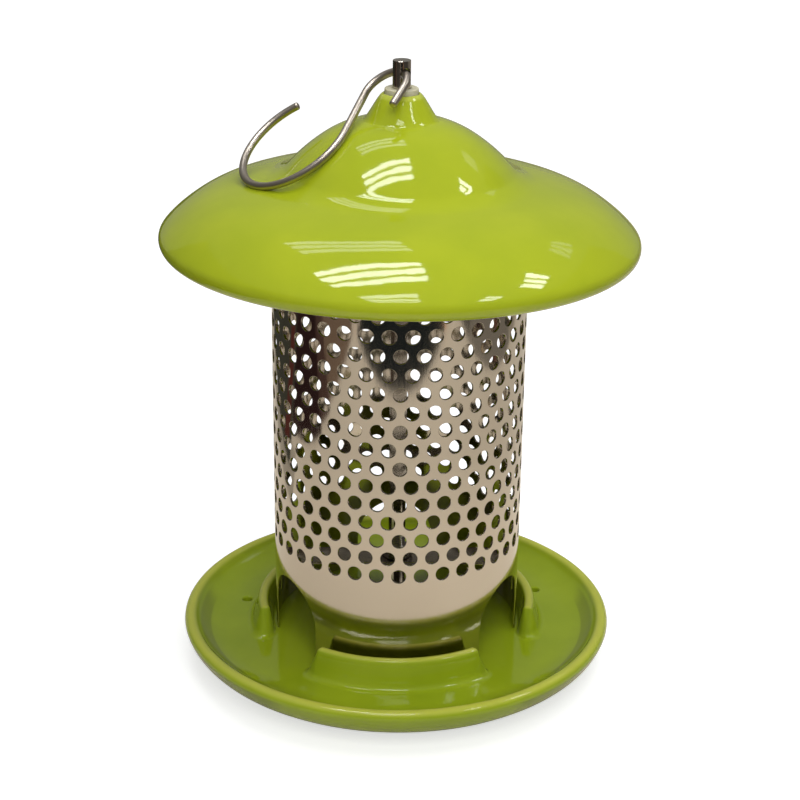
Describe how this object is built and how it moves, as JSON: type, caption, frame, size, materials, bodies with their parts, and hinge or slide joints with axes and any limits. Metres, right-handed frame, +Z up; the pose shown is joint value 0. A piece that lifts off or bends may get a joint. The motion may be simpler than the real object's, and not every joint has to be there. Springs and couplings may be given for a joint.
{
  "type": "bird feeder",
  "caption": "Hanging bird feeder with a glazed ceramic roof and tray, a perforated steel seed tube on a central rod, and an S-hook on top.",
  "frame": {"origin": "centre of the tray's foot ring, on the plane that the feeder stands on", "axes": "+Z up along the rod, -Y towards the side of the tray with a rib in the middle, +X to the right seen from there"},
  "size_m": [0.2156, 0.2156, 0.2888],
  "materials": {
    "tray_glaze": "gloss glaze, darker where it pools",
    "roof_glaze": "gloss glaze",
    "tube_steel": "satin stainless",
    "strap_steel": "satin stainless",
    "nut_steel": "machined stainless",
    "rod_steel": "polished stainless",
    "washer_steel": "satin stainless",
    "washer_rubber": "black rubber",
    "bushing_nylon": "translucent off-white nylon",
    "hook_steel": "polished stainless wire"
  },
  "bodies": {
    "base": {"tray": "tray_glaze", "seed_tube": "tube_steel", "cross_strap": "strap_steel", "strap_nut": "nut_steel", "hanging_rod": "rod_steel", "rubber_washer": "washer_rubber", "steel_washer": "washer_steel", "bottom_nut": "nut_steel"},
    "lid": {"roof": "roof_glaze", "roof_bushing": "bushing_nylon"},
    "hook": {"s_hook": "hook_steel"}
  },
  "joints": [
    {"name": "roof_turn", "type": "hinge", "parent": "base", "child": "lid", "pos_m": [0, 0, 0.2296], "axis": [0, 0, 1], "continuous": true},
    {"name": "hook_swing", "type": "hinge", "parent": "base", "child": "hook", "pos_m": [0, 0, 0.2832], "axis": [-0.515, 0.8572, 0], "range_deg": [0, 252]}
  ]
}
